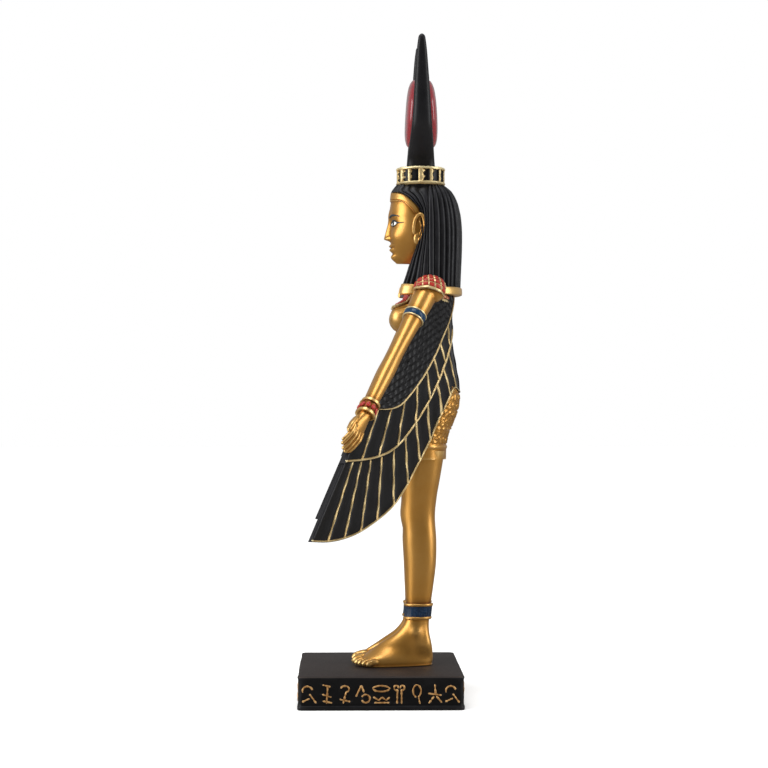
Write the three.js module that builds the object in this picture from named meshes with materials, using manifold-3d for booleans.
// Winged Isis statuette: a cast and painted resin figure on a low plinth.
// Millimetres. +Z up, the figure faces -Y, its left side is +X.
// The origin is the centre of the plinth's underside.

import * as THREE from "three";
import { mergeVertices } from "three/addons/utils/BufferGeometryUtils.js";
import Module from "manifold-3d";

const wasm = await Module();
wasm.setup();

const { abs, acos, cos, exp, hypot, max, min, PI, sign, sin } = Math;
const { clamp, lerp, radToDeg, smoothstep } = THREE.MathUtils;

// Driving dimensions

const HEIGHT = 290;
const PLINTH = { width: 84, depth: 70.4, height: 14.2, corner: 2, edge: 1.2, lip: 1.8 };
const SHORTEST_EDGE = 0.004;
const SOLE_GAP = 0.3;
const SOLE = PLINTH.height + SOLE_GAP;

const SIGNS = { band: 8.4, lift: 0.5, stroke: 0.9, pitch: 9.6, middle: 6.6 };

const FOOT = {
  splay: 0.19, splayFrom: 15, blendTop: 35, blend: 9, toeSlant: 0.55, slantTop: 24, slantBlend: 6,
  instepTurn: 1.35, instepLow: 17, instepHigh: 24,
};
const ANKLE_BAND = { low: 34.6, high: 41.5, rim: 1.2, lift: 0.5 };

const SKIRT = { hem: 104.3, tier: 117.5, top: 140.5, pleats: 16, relief: 0.45 };

const SHOULDER = new THREE.Vector3(21.4, 20.4, 177.4);
const SHOULDER_BALL = { radius: 5.8, deep: 1.2, back: 0.8 };
const ELBOW = new THREE.Vector3(40.2, 6.4, 150.1);
const WRIST = new THREE.Vector3(59.9, -7.1, 123.3);
const HAND = { palm: 10.4, fingers: 8.6, width: 7, thickness: 3.4, forward: 0.2 };

const WING = {
  spineY: 32.2, sweep: 0.763, spineRound: 9, bulgeReach: 30, tuck: 2.5,
  ridge: 0.6, quill: 0.14, rim: 0.45, rimStart: 0.955, scale: 0.5, columns: 13, rows: 4,
};

const HEAD = { chin: 191, top: 224.5, centreY: 18, halfWidth: 11.2, front: 13.4 };
const WIG = {
  bottom: 176.4, top: 225.5, hairline: 221.6, middleY: 21, locks: 14, relief: 0.7, frontShare: 0.4,
  band: 4.2, bandLift: 0.8,
};
const MODIUS = { radius: 10.4, y: 18.2, low: 224.7, high: 232.6, bars: 11, relief: 0.4 };
const DISK = { radius: 14.7, y: 18.4, z: 256.9 };
const COLLAR = { lift: 0.9, outer: 29 };

// Tables of a form's stations. The first number of a row is the place along it.

// z, half width, front y, back y
const TORSO = [
  [118, 14.2, 8.0, 30.4], [127, 14.2, 8.6, 32.4], [135, 13.8, 9.2, 33.2], [143, 13.2, 10.0, 33.0],
  [151, 12.2, 10.6, 31.7], [158, 12.6, 10.2, 31.0], [166, 14.6, 10.0, 30.7], [174, 17.0, 11.2, 30.3],
  [180, 17.8, 13.8, 29.4], [184, 12.4, 15.2, 27.8], [188, 7.0, 14.4, 26.6], [193, 6.2, 13.6, 26.0],
  [199, 6.4, 13.4, 27.0],
];

// z, centre x, half width, front y, back y
const LEG = [
  [14.5, 6.5, 5.1, -7.0, 22.6], [16, 6.5, 5.3, -7.6, 23.1], [18, 6.5, 5.2, -7.2, 23.3],
  [19.6, 6.5, 5.0, -5.8, 23.2], [21.8, 6.5, 4.8, -3.0, 23.0], [25.2, 6.5, 4.6, 2.0, 22.4],
  [28.6, 6.6, 4.4, 7.0, 21.7], [32.4, 6.6, 4.2, 10.2, 21.5], [36, 6.6, 4.1, 11.3, 21.8],
  [43, 6.6, 4.2, 11.6, 22.6], [48, 6.6, 4.5, 11.5, 23.3], [58.5, 6.5, 5.2, 11.2, 24.6],
  [69, 6.4, 5.6, 10.5, 24.8], [79.5, 6.3, 5.7, 10.1, 24.2], [88, 6.5, 6.3, 9.9, 25.0],
  [96, 6.8, 6.9, 9.3, 26.4], [108, 7.2, 7.5, 8.6, 28.4],
];
// z, squareness of the level slice, how much wider its front is than its back
const LEG_SLICES = [
  [14.5, 0.72, 0.14], [18, 0.75, 0.12], [22, 0.82, 0], [25.5, 0.9, -0.16], [29, 0.96, -0.12],
  [34, 1, 0], [108, 1, 0],
];
// x and y of the tip, radius, x and y of the root, from the big toe out
const TOES = [
  [5.6, -12.3, 2.1, 6.4, -3.0], [8.9, -11.2, 1.6, 8.0, -4.4], [11.2, -9.8, 1.55, 9.9, -3.2],
  [13.3, -8.1, 1.5, 11.6, -1.8], [15.1, -6.2, 1.4, 12.9, -0.2],
];

// z, half width, front y, back y
const SKIRT_FORM = [
  [104.3, 15.0, 7.0, 29.0], [112, 15.6, 6.9, 29.6], [118, 15.7, 6.9, 31.4], [125, 15.2, 7.4, 34.2],
  [131, 14.7, 7.9, 35.5], [137, 14.3, 8.8, 34.6], [140.5, 14.0, 9.6, 33.8],
];

// turn from the front in degrees, height of the collar's hem
const COLLAR_HEM = [
  [0, 170.6], [30, 171.0], [46, 172.6], [58, 174.6], [69, 176.9], [80, 178.0], [91, 178.2],
  [100, 177.2], [108, 175.6], [116, 174.0], [130, 173.2], [180, 171.8],
];

// distance down the arm, radius
const ARM_FORM = [[0, 5.1], [0.1, 5.0], [0.28, 4.0], [0.5, 3.4], [0.66, 3.5], [0.85, 3.0], [1, 2.7]];
// distance down the arm of each end of a band, and how far it stands proud
const ARM_BANDS = [{ from: 0.194, to: 0.246, lift: 0.5 }, { from: 0.905, to: 0.99, lift: 1.0 }];

// z, y of the wing's surface at the spine
const SPINE_LINE = [
  [100, 33.5], [120, 34.5], [128, 36], [136, 36.2], [145, 34.8], [152, 33.6], [158, 32.6],
  [175, 32.2], [200, 32.2],
];

// x, z along each wing's curves, from the spine outwards
const WING_TOP = [[-1.4, 183], [10, 183], [20, 180], [31, 163.5], [44, 145], [58.2, 127.8]];
const SCALE_EDGE = [[-1.4, 178], [9, 163.6], [20.5, 148.9], [32, 135.7], [42.4, 126.9], [58.2, 125.9]];
const COVERT_EDGE = [
  [-1.4, 162.5], [7.6, 153], [18.4, 138.5], [30.6, 120.3], [42.1, 109.6], [54, 105.4], [70.6, 104.1],
];
const FEATHER_EDGE = [
  [-1.4, 133.4], [4, 134.0], [8.4, 135.2], [12.6, 129.8], [16.2, 122.9], [22.2, 111.7],
  [29.2, 101.5], [36, 92.3], [43.5, 84.8], [53.4, 79.0], [63, 75], [72, 73.1], [79.3, 72.7],
  [87.5, 73.4],
];

// number of the feather line, x where it meets the curve above it or below it
const COVERT_ROOTS = [[0, -0.9], [2, 15.4], [4, 25.6], [6, 37.2], [9, 58.2]];
const COVERT_TIPS = [[0, -0.9], [1, 7.6], [3, 18.4], [5, 31.1], [7, 52], [9, 70.6]];
const FEATHER_ROOTS = [[0, -1.4], [1, 9], [3, 19.7], [6, 36.3], [9, 55.0], [12, 68.8]];
const FEATHER_TIPS = [[0, -1.4], [1, 6.7], [3, 15.9], [6, 34.4], [9, 61.0], [12, 87.4]];

// Outer face over the wing's surface, and thickness, of each layer
const SCALES_LAYER = { outer: 0.4, thickness: 3.4 };
const COVERTS_LAYER = { outer: -0.3, thickness: 2.5 };
const FEATHERS_LAYER = { outer: -1.0, thickness: 1.6 };

// z, half width, x and y of the hair's front edge, back y
const WIG_FORM = [
  [176.4, 16.6, 10.6, 9.0, 35.6], [181, 16.5, 10.6, 10.2, 35.8], [186, 16.2, 10.5, 11.9, 36.0],
  [192, 15.4, 10.4, 13.8, 36.3], [198, 14.8, 11.0, 16.0, 36.5], [205, 14.2, 12.1, 17.6, 36.5],
  [211, 13.8, 12.6, 17.6, 36.0], [214, 13.3, 12.4, 16.8, 35.4], [217, 12.7, 11.8, 14.0, 34.6],
  [219, 12.2, 10.8, 12.0, 33.8], [220.6, 11.5, 9.0, 9.4, 33.0], [221.6, 11.0, 7.2, 7.0, 32.3],
  [222.6, 10.4, 6.6, 6.9, 31.6], [225.5, 8.4, 4.8, 9.2, 28.0],
];
// z, y of the wig's line across the middle: behind the face and neck, then over the forehead
const WIG_INSIDE = [
  [176.4, 19], [192, 19], [205, 18], [214, 15], [221.5, 9.5], [221.6, 5.0], [225.5, 7.6]];

// along the horn: x, z, half depth, half thickness
const HORN_FORM = [
  [3.4, 231.5, 6.3, 3.2], [5.2, 237.5, 5.8, 3.2], [10.6, 243.2, 5.2, 3.0], [15.4, 249.5, 4.5, 2.7],
  [16.9, 257, 3.9, 2.4], [16.6, 266, 3.4, 2.1], [15.6, 275, 2.8, 1.8], [15.0, 283, 2.2, 1.5],
  [14.9, 288.8, 1.5, 1.2],
];

// radius as a share of the disk's, half thickness at its top and at its foot
const DISK_FORM = [[0.4, 6.5, 7.1], [0.8, 5.5, 7.0], [1, 3.6, 5.4]];

// Small tools

/** Smooth row of values at a place along a table of stations. */
function stationAt(table, place) {
  let i = 0;
  while (i < table.length - 2 && place > table[i + 1][0]) i += 1;
  const [low, high] = [table[i], table[i + 1]];
  const before = table[max(0, i - 1)];
  const after = table[min(table.length - 1, i + 2)];
  const span = high[0] - low[0];
  const t = clamp((place - low[0]) / span, 0, 1);
  return low.map((value, k) => {
    const leaving = ((high[k] - before[k]) / (high[0] - before[0])) * span;
    const arriving = ((after[k] - value) / (after[0] - low[0])) * span;
    const a = 2 * t ** 3 - 3 * t ** 2 + 1;
    const b = t ** 3 - 2 * t ** 2 + t;
    const c = 3 * t ** 2 - 2 * t ** 3;
    const d = t ** 3 - t ** 2;
    return a * value + b * leaving + c * high[k] + d * arriving;
  });
}

/** Evenly spaced numbers from one end to the other, both included. */
function steps(from, to, count) {
  return Array.from({ length: count + 1 }, (_, i) => lerp(from, to, i / count));
}

/** A soft bump of height 1 at the middle of an oval patch. */
function bump(dx, dz, reachX, reachZ) {
  return exp(-((dx / reachX) ** 2) - (dz / reachZ) ** 2);
}

/** Solid from a vertex list and triangles, turned so that its faces point out. */
function solidOf(vertices, triangles) {
  const build = (triVerts) => new wasm.Manifold(new wasm.Mesh({
    numProp: 3,
    vertProperties: new Float32Array(vertices),
    triVerts: new Uint32Array(triVerts),
  }));
  const solid = build(triangles);
  if (solid.volume() > 0) return solid;
  const turned = [];
  for (let i = 0; i < triangles.length; i += 3) {
    turned.push(triangles[i], triangles[i + 2], triangles[i + 1]);
  }
  return build(turned);
}

/** Triangles over a flat ring of points, turning the same way round as the ring does. */
function cap(ring) {
  const normal = new THREE.Vector3();
  ring.forEach((p, i) => normal.add(new THREE.Vector3().crossVectors(p, ring[(i + 1) % ring.length])));
  const across = new THREE.Vector3().subVectors(ring[1], ring[0]).normalize();
  const up = new THREE.Vector3().crossVectors(normal, across).normalize();
  const flat = ring.map((p) => new THREE.Vector2(p.dot(across), p.dot(up)));
  return THREE.ShapeUtils.triangulateShape(flat, []).map(([a, b, c]) => {
    const turn = flat[b].clone().sub(flat[a]).cross(flat[c].clone().sub(flat[a]));
    return turn > 0 ? [a, b, c] : [a, c, b];
  });
}

/** Solid lofted through rings with equal point counts, closed over each end. */
function loft(rings) {
  const count = rings[0].length;
  const vertices = rings.flatMap((ring) => ring.flatMap((p) => [p.x, p.y, p.z]));
  const triangles = [];
  for (let r = 0; r + 1 < rings.length; r += 1) {
    for (let i = 0; i < count; i += 1) {
      const [a, b] = [r * count + i, r * count + ((i + 1) % count)];
      triangles.push(a, b, b + count, a, b + count, a + count);
    }
  }
  const last = (rings.length - 1) * count;
  for (const [a, b, c] of cap(rings[0])) triangles.push(a, c, b);
  for (const [a, b, c] of cap(rings[rings.length - 1])) triangles.push(last + a, last + b, last + c);
  return solidOf(vertices, triangles);
}

/** Closed slab between an outer and an inner grid over the same patch, of any two sizes. */
function slab(outer, inner) {
  const vertices = [outer, inner].flat(2).flatMap((p) => [p.x, p.y, p.z]);
  const triangles = [];
  const indexOf = (grid, start) => (i, j) => start + i * grid[0].length + j;
  const outerAt = indexOf(outer, 0);
  const innerAt = indexOf(inner, outer.length * outer[0].length);
  for (const [grid, at, facing] of [[outer, outerAt, 1], [inner, innerAt, -1]]) {
    for (let i = 0; i + 1 < grid.length; i += 1) {
      for (let j = 0; j + 1 < grid[0].length; j += 1) {
        const [a, b, c, d] = [at(i, j), at(i + 1, j), at(i + 1, j + 1), at(i, j + 1)];
        if (facing > 0) triangles.push(a, b, c, a, c, d);
        else triangles.push(a, c, b, a, d, c);
      }
    }
  }
  const border = (grid, at) => {
    const [columns, rows] = [grid.length - 1, grid[0].length - 1];
    const walk = (count, place) => Array.from({ length: count + 1 }, (_, k) => place(k));
    return [
      walk(rows, (j) => at(0, j)), walk(columns, (i) => at(i, rows)),
      walk(rows, (j) => at(columns, rows - j)), walk(columns, (i) => at(columns - i, 0)),
    ];
  };
  const innerSides = border(inner, innerAt);
  border(outer, outerAt).forEach((out, k) => {
    const back = innerSides[k];
    let [o, b] = [0, 0];
    while (o < out.length - 1 || b < back.length - 1) {
      const stepOut = b === back.length - 1
        || (o < out.length - 1 && (o + 1) / (out.length - 1) <= (b + 1) / (back.length - 1));
      if (stepOut) triangles.push(out[o], out[o + 1], back[b]);
      else triangles.push(out[o], back[b + 1], back[b]);
      if (stepOut) o += 1;
      else b += 1;
    }
  });
  return solidOf(vertices, triangles);
}

/** All solids of a list joined into one. */
function join(solids) {
  return solids.reduce((whole, piece) => whole.add(piece));
}

/** A solid and its mirror image across the middle of the figure, joined. */
function bothSides(solid) {
  const { vertProperties, triVerts } = solid.getMesh();
  const mirrored = Array.from(vertProperties, (value, i) => (i % 3 === 0 ? -value : value));
  return solid.add(solidOf(mirrored, Array.from(triVerts)));
}

/** Level oval ring. */
function ovalRing(z, centreX, halfWidth, front, back, count) {
  const [middle, halfDepth] = [(front + back) / 2, (back - front) / 2];
  return Array.from({ length: count }, (_, i) => {
    const angle = (2 * PI * i) / count;
    return new THREE.Vector3(
      centreX + halfWidth * cos(angle), middle + halfDepth * sin(angle), z);
  });
}

/** Oval ring round a point, across two axes. */
function ringAcross(centre, axisA, axisB, radiusA, radiusB, count) {
  return Array.from({ length: count }, (_, i) => {
    const angle = (2 * PI * i) / count;
    return centre.clone()
      .addScaledVector(axisA, radiusA * cos(angle))
      .addScaledVector(axisB, radiusB * sin(angle));
  });
}

/** Ellipsoid lofted from level rings. */
function ellipsoid(centre, radii, count, levels) {
  const rings = steps(-0.46 * PI, 0.46 * PI, levels).map((tilt) => {
    const shrink = cos(tilt);
    return ringAcross(
      new THREE.Vector3(centre.x, centre.y, centre.z + radii.z * sin(tilt)),
      new THREE.Vector3(1, 0, 0), new THREE.Vector3(0, 1, 0),
      radii.x * shrink, radii.y * shrink, count);
  });
  return loft(rings);
}

// Plinth

/** Level rounded rectangle, with three points at each corner. */
function plinthRing(z, inset) {
  const radius = PLINTH.corner;
  const points = [];
  for (const [sx, sy, turn] of [[1, 1, 0], [-1, 1, 1], [-1, -1, 2], [1, -1, 3]]) {
    for (const part of [0, 0.5, 1]) {
      const angle = ((turn + part) * PI) / 2;
      points.push(new THREE.Vector3(
        sx * (PLINTH.width / 2 - radius - inset) + radius * cos(angle),
        sy * (PLINTH.depth / 2 - radius - inset) + radius * sin(angle), z));
    }
  }
  return points;
}

/** Made-up signs: the ends of their strokes, in a cell that is 1 high and centred on 0. */
const SIGN_STROKES = [
  [[[-0.22, -0.42], [-0.3, 0.42]], [[0.1, -0.42], [0.3, 0.42]]],
  [[[-0.3, 0.36], [0.3, 0.36]], [[-0.3, 0], [0.12, 0.08]], [[-0.3, -0.36], [0.3, -0.36]]],
  [[[0, -0.44], [0, 0.06]], [[-0.28, 0.22], [0.28, 0.4]]],
  [[[-0.3, -0.4], [-0.1, 0.4]], [[0.16, 0.4], [0.3, -0.4]]],
  [[[-0.3, 0.1], [0, 0.42]], [[-0.2, -0.36], [0.3, 0]]],
];

/** Raised stroke on a side of the plinth, between two places along and up that side. */
function stroke(side, from, to) {
  const along = new THREE.Vector2(to[0] - from[0], to[1] - from[1]).normalize();
  const half = SIGNS.stroke / 2;
  const corners = [[from, -1], [to, -1], [to, 1], [from, 1]].map(([end, out]) => [
    end[0] - half * out * along.y, end[1] + half * out * along.x]);
  const ring = (depth) => corners.map(([s, z]) => side.start.clone()
    .addScaledVector(side.along, s).addScaledVector(side.out, depth).setZ(z));
  return loft([ring(-0.4), ring(SIGNS.lift)]);
}

/** Rows of raised strokes round the four sides of the plinth. */
function plinthSigns() {
  const solids = [];
  for (let turn = 0; turn < 4; turn += 1) {
    const angle = (turn * PI) / 2;
    const out = new THREE.Vector3(cos(angle), sin(angle), 0);
    const along = new THREE.Vector3(-sin(angle), cos(angle), 0);
    const [reach, length] = turn % 2
      ? [PLINTH.depth / 2, PLINTH.width] : [PLINTH.width / 2, PLINTH.depth];
    const side = { start: out.clone().multiplyScalar(reach), along, out };
    const count = Math.floor((length - 4) / SIGNS.pitch);
    for (let n = 0; n < count; n += 1) {
      const place = (n - (count - 1) / 2) * SIGNS.pitch;
      const cell = ([s, z]) => [place + s * SIGNS.band, SIGNS.middle + z * SIGNS.band];
      const strokes = SIGN_STROKES[(n * 2 + turn) % SIGN_STROKES.length];
      for (const [from, to] of strokes) solids.push(stroke(side, cell(from), cell(to)));
    }
  }
  return join(solids);
}

function plinth() {
  const { height, edge, lip } = PLINTH;
  const body = loft([
    plinthRing(0, 0.4), plinthRing(0.5, 0), plinthRing(lip, 0), plinthRing(lip, 0.3),
    plinthRing(height - edge, 0.3), plinthRing(height, edge),
  ]);
  return body.add(plinthSigns());
}

// Legs, feet and skirt

/** Level slice of the leg: an oval at the shin, splayed and foot-shaped towards the sole. */
function legSlice(z, lift) {
  const [, centre, halfWidth, front, back] = stationAt(LEG, z);
  const [, square, widening] = stationAt(LEG_SLICES, z);
  const foot = smoothstep(FOOT.blendTop - z, 0, FOOT.blend);
  const low = smoothstep(FOOT.slantTop - z, 0, FOOT.slantBlend);
  const turnOut = FOOT.splay * (1 - FOOT.instepTurn * smoothstep(z, FOOT.instepLow, FOOT.instepHigh));
  return ovalRing(z, 0, 1, front - lift, back + lift, 12).map((p) => {
    const ahead = ((front + back) / 2 - p.y) / ((back - front) / 2 + lift);
    const across = (halfWidth * (1 + widening * ahead) + lift) * sign(p.x) * abs(p.x) ** square;
    return new THREE.Vector3(
      centre + foot * turnOut * (FOOT.splayFrom - p.y) + across,
      p.y + low * FOOT.toeSlant * across * max(0, ahead) ** 1.5, z);
  });
}

function toe([x, tip, radius, rootX, root]) {
  const across = [new THREE.Vector3(1, 0, 0), new THREE.Vector3(0, 0, 1)];
  const ring = (t, size, rise) => ringAcross(
    new THREE.Vector3(lerp(x, rootX, t), lerp(tip, root, t), SOLE + radius * rise), ...across,
    radius * size, radius * size, 7);
  return loft([ring(1, 0.9, 1.3), ring(0.12, 0.96, 0.98), ring(0, 0.5, 0.8)]);
}

/** One leg down to its toes, with the raised band and its two rims round the ankle. */
function leg() {
  const { low, high, rim, lift } = ANKLE_BAND;
  const bare = (z) => [z, 0];
  const levels = [
    ...[SOLE, 16, 18.4, 21.8, 25.2, 28.6, 32].map(bare), bare(low), [low, lift + 0.3],
    [low + rim, lift], [high - rim, lift], [high, lift + 0.3], bare(high),
    ...[50, 62, 79.5, 92, 106].map(bare)];
  return join([loft(levels.map(([z, out]) => legSlice(z, out))), ...TOES.map(toe)]);
}

/** Short wrap in two carved tiers, each flared towards its hem. */
function skirt() {
  const { hem, tier, top, pleats, relief } = SKIRT;
  const level = (z, flare) => {
    const [, halfWidth, front, back] = stationAt(SKIRT_FORM, z);
    const ring = ovalRing(z, 0, halfWidth + flare, front - flare, back + flare, pleats * 2);
    return ring.map((p, i) => {
      const outward = new THREE.Vector3(p.x, p.y - 20, 0).normalize();
      return p.addScaledVector(outward, i % 2 ? 0 : -relief);
    });
  };
  return loft([level(hem, 0.2), level(tier, -0.3), level(tier, 0.6), level(128, 0.1),
    level(134, 0.1), level(top, 0)]);
}

// Torso and neck

function torso(lift = 0) {
  const heights = [127, 135, 143, 151, 158, 166, 174, 180, 182.5, 185, 188, 199];
  const rings = heights.map((z) => {
    const [, halfWidth, front, back] = stationAt(TORSO, z);
    return ovalRing(z + lift * 0.7, 0, halfWidth + lift, front - lift, back + lift, 16);
  });
  return loft(rings);
}

function breast(lift = 0) {
  const radii = new THREE.Vector3(5.8 + lift, 7.4 + lift, 6.6 + lift);
  return ellipsoid(new THREE.Vector3(7.0, 11.8, 166.2), radii, 10, 5);
}

/** Broad collar: the shoulders' own form made thicker, inside a sloping ring. */
function collar() {
  const lift = COLLAR.lift;
  const shoulders = join([
    torso(lift), bothSides(breast(lift)), bothSides(shoulderBall(lift))]);
  const count = 24;
  const edge = (radius, z) => Array.from({ length: count }, (_, i) => {
    const angle = (2 * PI * i) / count;
    return new THREE.Vector3(radius * cos(angle), 19 + radius * 0.9 * sin(angle), z(angle));
  });
  const hem = (angle) => stationAt(COLLAR_HEM, radToDeg(acos(-sin(angle))))[1];
  const zone = loft([edge(COLLAR.outer, hem), edge(COLLAR.outer, () => 200)]);
  return shoulders.intersect(zone);
}

// Arms and hands

const ARM_CURVE = new THREE.CatmullRomCurve3([SHOULDER, ELBOW, WRIST]);

/** Unit axes at the arm: down it, out of the wing's face, and from front to back of the wing. */
function armAxes(t) {
  const down = ARM_CURVE.getTangentAt(clamp(t, 0, 1));
  const face = new THREE.Vector3(0.6, 0.8, 0);
  const inward = new THREE.Vector3().crossVectors(face, down).normalize();
  return { down, face: new THREE.Vector3().crossVectors(down, inward).normalize(), inward };
}

function armRing(t, lift) {
  const { face, inward } = armAxes(t);
  const radius = stationAt(ARM_FORM, t)[1] + lift;
  return ringAcross(ARM_CURVE.getPointAt(t), face, inward, radius, radius, 8);
}

function shoulderBall(lift = 0) {
  const { radius, deep, back } = SHOULDER_BALL;
  const size = radius + lift;
  const radii = new THREE.Vector3(size, size * deep, size);
  return ellipsoid(SHOULDER.clone().add(new THREE.Vector3(0, back, 0)), radii, 8, 5);
}

/** Straight arm with its two raised bands. */
function arm() {
  const bands = ARM_BANDS.flatMap(({ from, to, lift }) => {
    return [[from, 0], [from, lift], [to, lift], [to, 0]];
  });
  const bare = [0, 0.12, 0.38, 0.5, 0.7].map((t) => [t, 0]);
  const levels = [...bare, ...bands].sort((a, b) => a[0] - b[0]);
  return loft(levels.map(([t, lift]) => armRing(t, lift))).add(shoulderBall());
}

/** Open hand that hangs in line with the arm, its back facing out. */
function hand() {
  const { palm, fingers, width, thickness, forward } = HAND;
  const { down, face, inward } = armAxes(1);
  const place = (run, across, out) => WRIST.clone().addScaledVector(down, run)
    .addScaledVector(inward, across - forward * min(1, run / palm)).addScaledVector(face, out);
  const ring = (run, across, out, halfWide, halfThick, count) =>
    ringAcross(place(run, across, out), inward, face, halfWide, halfThick, count);
  const solids = [loft([
    ring(-1.5, 0, 0, 2.6, 2.6, 8), ring(1, 0, 0, 2.7, 2.3, 8),
    ring(5, 0, 0, width * 0.48, thickness * 0.55, 8), ring(palm, 0, 0, width / 2, thickness / 2, 8),
    ring(palm + 1.6, 0, -0.1, width * 0.4, thickness * 0.2, 8),
  ])];
  const lengths = [0.8, 0.96, 1, 0.9];
  lengths.forEach((length, i) => {
    const across = (i - 1.5) * (width / 4.2);
    const reach = palm + fingers * length;
    solids.push(loft([
      ring(palm - 1.5, across, 0, 0.78, 1.3, 6), ring(reach - 1, across * 0.85, -0.3, 0.66, 1, 6),
      ring(reach, across * 0.85, -0.4, 0.35, 0.5, 6),
    ]));
  });
  solids.push(loft([
    ring(2.6, -1.2, -0.7, 1.2, 1.2, 5), ring(palm - 1.2, -3.3, -0.9, 1.1, 1.1, 5),
    ring(palm + 2.8, -3.1, -1.1, 0.5, 0.5, 5),
  ]));
  return join(solids);
}

// Wings

function wingY(x, z) {
  const bulge = stationAt(SPINE_LINE, z)[1] - WING.spineY;
  const sweep = WING.sweep * (hypot(x, WING.spineRound) - WING.spineRound);
  return WING.spineY + bulge * exp(-((x / WING.bulgeReach) ** 2)) - sweep;
}

/** Point over the wing's surface at x, z, raised along the surface's outward normal. */
function wingPoint(x, z, raise) {
  const slopeX = (wingY(x + 0.5, z) - wingY(x - 0.5, z));
  const slopeZ = (wingY(x, z + 0.5) - wingY(x, z - 0.5));
  const normal = new THREE.Vector3(-slopeX, 1, -slopeZ).normalize();
  return new THREE.Vector3(x, wingY(x, z), z).addScaledVector(normal, raise);
}

/** One face of a wing layer: a grid placed by place(u, t) and raised by relief(i, j). */
function wingFace(columns, rows, place, base, relief) {
  return columns.map((u, i) => rows.map((t, j) => {
    const [x, z] = place(u, t);
    return wingPoint(x, z, base + relief(i, j));
  }));
}

/** Feathers that each rise to a quill over the next, with a raised rim. Plainer inside. */
function feathers(count, roots, tips, rootEdge, tipEdge, layer) {
  const place = (n, t) => {
    const rootX = stationAt(roots, n)[1];
    const tipX = stationAt(tips, n)[1];
    const rootZ = stationAt(rootEdge, rootX)[1] + WING.tuck;
    return [lerp(rootX, tipX, t), lerp(rootZ, stationAt(tipEdge, tipX)[1], t)];
  };
  const quills = [0];
  for (let n = 1; n < count; n += 1) quills.push(n, n + WING.quill);
  quills.push(count);
  const rows = [0, WING.rimStart, 1];
  const outer = wingFace(quills, rows, place, layer.outer, (i, j) =>
    max(i % 2 ? WING.ridge : 0, j === 2 ? WING.rim : 0));
  const inner = wingFace(steps(0, count, count * 2), [0, 1], place, layer.outer - layer.thickness,
    (i) => (i % 2 ? 0 : -WING.ridge / 2));
  return slab(outer, inner);
}

/** Field of small overlapping scales between the arm and the first row of feathers. */
function scales() {
  const { columns, rows, scale, rim } = WING;
  const [nearX, farX] = [-0.5, SCALE_EDGE[SCALE_EDGE.length - 1][0]];
  const place = (x, t) => [x, lerp(stationAt(WING_TOP, x)[1], stationAt(SCALE_EDGE, x)[1], t)];
  const { outer, thickness } = SCALES_LAYER;
  return slab(
    wingFace(steps(nearX, farX, columns), steps(0, 1, rows), place, outer, (i, j) =>
      (j === rows ? rim : scale * ((i + j) % 2))),
    wingFace(steps(nearX, farX, 9), steps(0, 1, 2), place, outer - thickness, () => 0));
}

function wing() {
  const coverts = feathers(9, COVERT_ROOTS, COVERT_TIPS, SCALE_EDGE, COVERT_EDGE, COVERTS_LAYER);
  const longFeathers = feathers(
    12, FEATHER_ROOTS, FEATHER_TIPS, COVERT_EDGE, FEATHER_EDGE, FEATHERS_LAYER);
  return join([scales(), coverts, longFeathers]);
}

// Head, wig and crown

/** How far the calm, regular face stands out of the plain oval of the head at x, z. */
function faceRelief(x, z) {
  const tall = HEAD.top - HEAD.chin;
  const eyes = HEAD.chin + tall / 2;
  const brow = eyes + tall * 0.075;
  const noseBase = (brow + HEAD.chin) / 2;
  const mouth = noseBase - (noseBase - HEAD.chin) / 3;
  const side = abs(x);
  const along = clamp((brow - z) / (brow - noseBase), 0, 1);
  const bridge = exp(-((side / lerp(1.1, 2.0, along)) ** 2));
  const noseEnd = z < noseBase + 0.8 ? exp(-(((noseBase + 0.8 - z) / 0.9) ** 2)) : 1;
  const nose = z < brow + 1
    ? bridge * noseEnd * lerp(0.7, 3.6, along ** 1.2)
    : 0.7 * bump(x, z - brow, 1.4, 3);
  const socket = -1.5 * bump(side - 4.6, z - eyes, 3.0, 2.3);
  const ball = 1.2 * bump(side - 4.7, z - eyes, 2.2, 1.2);
  const browRidge = 0.5 * bump(side - 5, z - brow - 0.5, 4, 1.1);
  const cheek = 0.8 * bump(side - 6.6, z - noseBase - 1, 3.2, 3.6);
  const lips = 1.3 * bump(x, z - mouth - 0.8, 3.1, 0.9) + 1.3 * bump(x, z - mouth + 1.0, 2.6, 0.9);
  const parting = -0.5 * bump(x, z - mouth, 3.2, 0.4);
  const dent = -0.6 * bump(x, z - mouth + 2.8, 3, 0.9);
  const chin = 1.4 * bump(x, z - HEAD.chin - 2, 3.2, 2.2);
  return nose + socket + ball + browRidge + cheek + lips + parting + dent + chin;
}

function head() {
  const sides = [];
  for (const part of steps(-1, 1, 16)) sides.push(part * 0.5 * PI * (0.55 + 0.45 * part * part));
  const heights = [190.6, 191.8, 193.4, 195.2, 196.6, 197.6, 198.6, 199.8, 200.8, 202, 205, 206.8, 208.2,
    210, 214, 218, 221.8];
  const rings = heights.map((z) => {
    const drop = clamp((212 - z) / 22.6, 0, 1);
    const rise = max(0, z - 212);
    const wide = HEAD.halfWidth * (1 - drop ** 2.6) + 0.6 - 0.06 * rise ** 1.6;
    const deep = HEAD.front * (1 - 0.3 * drop ** 4) - 0.03 * rise ** 1.5;
    const ring = sides.map((angle) => {
      const x = wide * sin(angle);
      return new THREE.Vector3(x, HEAD.centreY - deep * cos(angle) ** 0.9 - faceRelief(x, z), z);
    });
    for (const part of [0.6, 0, -0.6]) {
      ring.push(new THREE.Vector3(wide * part, HEAD.centreY + 4, z));
    }
    return ring;
  });
  return loft(rings);
}

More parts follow.
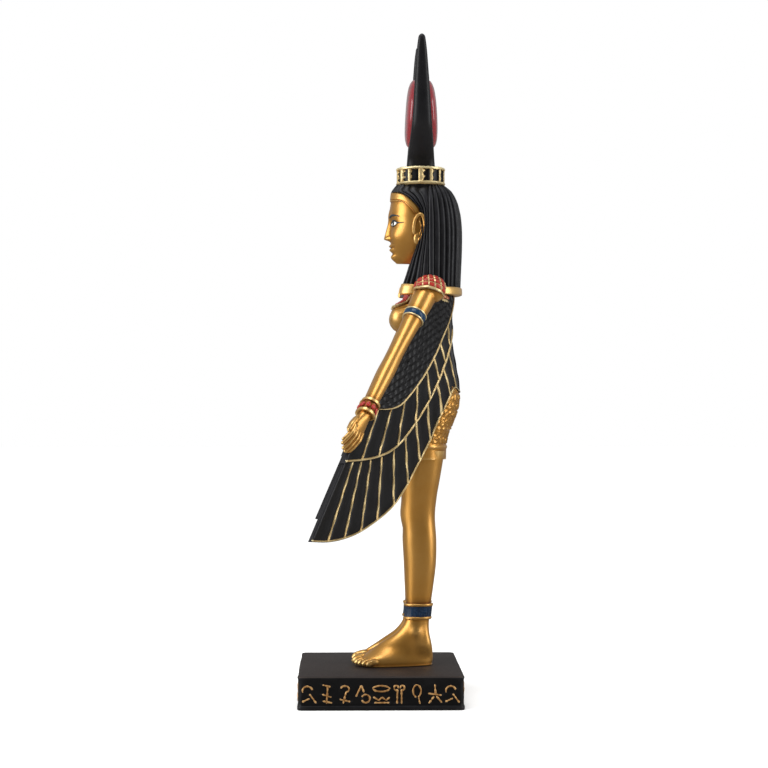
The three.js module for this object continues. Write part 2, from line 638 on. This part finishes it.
function ear() {
  const low = new THREE.Vector3(11.4, 16.6, 198.4);
  const high = new THREE.Vector3(12.6, 17.2, 211.4);
  const along = new THREE.Vector3().subVectors(high, low).normalize();
  const out = new THREE.Vector3(1, 0, 0);
  const back = new THREE.Vector3().crossVectors(along, out);
  const widths = [0.6, 1.3, 1.5, 1.9, 2.0, 1.2];
  return loft(steps(0, 1, 5).map((t, i) =>
    ringAcross(low.clone().lerp(high, t), out, back, 1.7, widths[i], 6)));
}

/** Level ring of the wig: locks round the outside, then back across the middle. */
function wigRing(z, lift, relief) {
  const [, halfWidth, edgeX, edgeY, back] = stationAt(WIG_FORM, z);
  const inside = stationAt(WIG_INSIDE, z)[1];
  const { middleY, locks, frontShare } = WIG;
  const points = [];
  for (let i = 0; i <= locks * 2; i += 1) {
    const place = (2 * i) / (locks * 2) - 1;
    const side = place < 0 ? 1 : -1;
    const u = 1 - abs(place);
    const out = lift - (i % 2 ? relief : 0);
    const front = u < frontShare;
    const turn = (front ? 1 - u / frontShare : (u - frontShare) / (1 - frontShare)) * (PI / 2);
    const x = front
      ? edgeX + (halfWidth - edgeX) * cos(turn) : halfWidth * cos(turn);
    const y = front
      ? middleY - (middleY - edgeY) * sin(turn) : middleY + (back - middleY) * sin(turn);
    const away = new THREE.Vector2(x, y - middleY).normalize();
    points.push(new THREE.Vector3(side * (x + out * away.x), y + out * away.y, z));
  }
  const reach = points[0].x;
  const flat = z < WIG.hairline ? max(inside, edgeY) : inside;
  for (const [part, depth] of [[-0.58, 0.8], [0, 1], [0.58, 0.8]]) {
    points.push(new THREE.Vector3(reach * part, lerp(points[0].y, flat, depth), z));
  }
  return points;
}

function wig() {
  const { hairline } = WIG;
  const heights = [WIG.bottom, 190, 204, 213, 217, 219.5, hairline - 0.2, hairline, 223.4, WIG.top];
  const hair = loft(heights.map((z) => wigRing(z, 0, WIG.relief)));
  const { bottom, band, bandLift } = WIG;
  const ends = loft([bottom, bottom + band].map((z) => wigRing(z, bandLift, 0)));
  return hair.add(ends);
}

/** Flat crown round the top of the wig, with upright bars between two rims. */
function modius() {
  const { radius, y, low, high, bars, relief } = MODIUS;
  const ring = (z, size, carved) => Array.from({ length: bars * 2 }, (_, i) => {
    const angle = (2 * PI * i) / (bars * 2);
    const r = size - (carved && i % 2 ? relief : 0);
    return new THREE.Vector3(r * sin(angle), y - r * cos(angle), z);
  });
  return loft([ring(low - 2.5, radius - 0.8, false), ring(low + 1.2, radius + 0.3, false),
    ring(low + 1.6, radius, true), ring(high - 1.6, radius, true),
    ring(high - 1.2, radius + 0.3, false), ring(high, radius + 0.1, false),
    ring(high - 0.6, radius - 1.4, false)]);
}

function horn() {
  const path = new THREE.CatmullRomCurve3(HORN_FORM.map(([x, z]) => new THREE.Vector3(x, DISK.y, z)));
  const depth = new THREE.Vector3(0, 1, 0);
  const last = HORN_FORM.length - 1;
  const rings = steps(0, 1, 8).map((t) => {
    const down = path.getTangent(t);
    const across = new THREE.Vector3().crossVectors(depth, down).normalize();
    const place = t * last;
    const i = min(Math.floor(place), last - 1);
    const size = [2, 3].map((k) => lerp(HORN_FORM[i][k], HORN_FORM[i + 1][k], place - i));
    return ringAcross(path.getPoint(t), depth, across, size[0], size[1], 8);
  });
  const tip = rings[rings.length - 1].map((p) => p.clone().lerp(
    new THREE.Vector3(HORN_FORM[last][0], DISK.y, p.z), 0.55).setZ(HEIGHT));
  return loft([...rings, tip]);
}

/** Sun disk, domed on both faces and thicker towards its foot, between the horns. */
function disk() {
  const { radius, y, z } = DISK;
  const face = (side) => ([share, above, below]) => {
    const ring = ringAcross(
      new THREE.Vector3(0, y, z), new THREE.Vector3(1, 0, 0), new THREE.Vector3(0, 0, 1),
      share * radius, share * radius, 20);
    return ring.map((p) => p.setY(y + side * lerp(above, below, 0.5 - (p.z - z) / (2 * share * radius))));
  };
  return loft([...DISK_FORM.map(face(-1)), ...DISK_FORM.toReversed().map(face(1))]);
}

// The whole figure is one casting

function figure() {
  const halves = join([
    leg(), breast(), arm(), hand(), wing(), horn(), ear()]);
  return join([
    bothSides(halves), torso(), skirt(), collar(), head(), wig(), modius(), disk()]);
}

/** Named mesh of a solid, in the colour of its paint, without edges too short to matter. */
function meshOf(name, solid, finish) {
  const { vertProperties, triVerts } = solid.getMesh();
  const raw = new THREE.BufferGeometry();
  raw.setAttribute("position", new THREE.BufferAttribute(new Float32Array(vertProperties), 3));
  raw.setIndex(new THREE.BufferAttribute(new Uint32Array(triVerts), 1));
  const geometry = mergeVertices(raw, SHORTEST_EDGE);
  const index = geometry.getIndex().array;
  const kept = [];
  for (let i = 0; i < index.length; i += 3) {
    const [a, b, c] = index.slice(i, i + 3);
    if (a !== b && b !== c && c !== a) kept.push(a, b, c);
  }
  geometry.setIndex(kept);
  const mesh = new THREE.Mesh(geometry, new THREE.MeshStandardMaterial(finish));
  mesh.name = name;
  return mesh;
}

const group = new THREE.Group();
group.add(meshOf("figure", figure(), { color: 0xc8953a, roughness: 0.35, metalness: 0.9 }));
group.add(meshOf("plinth", plinth(), { color: 0x2a2422, roughness: 0.45, metalness: 0.0 }));

export default group;
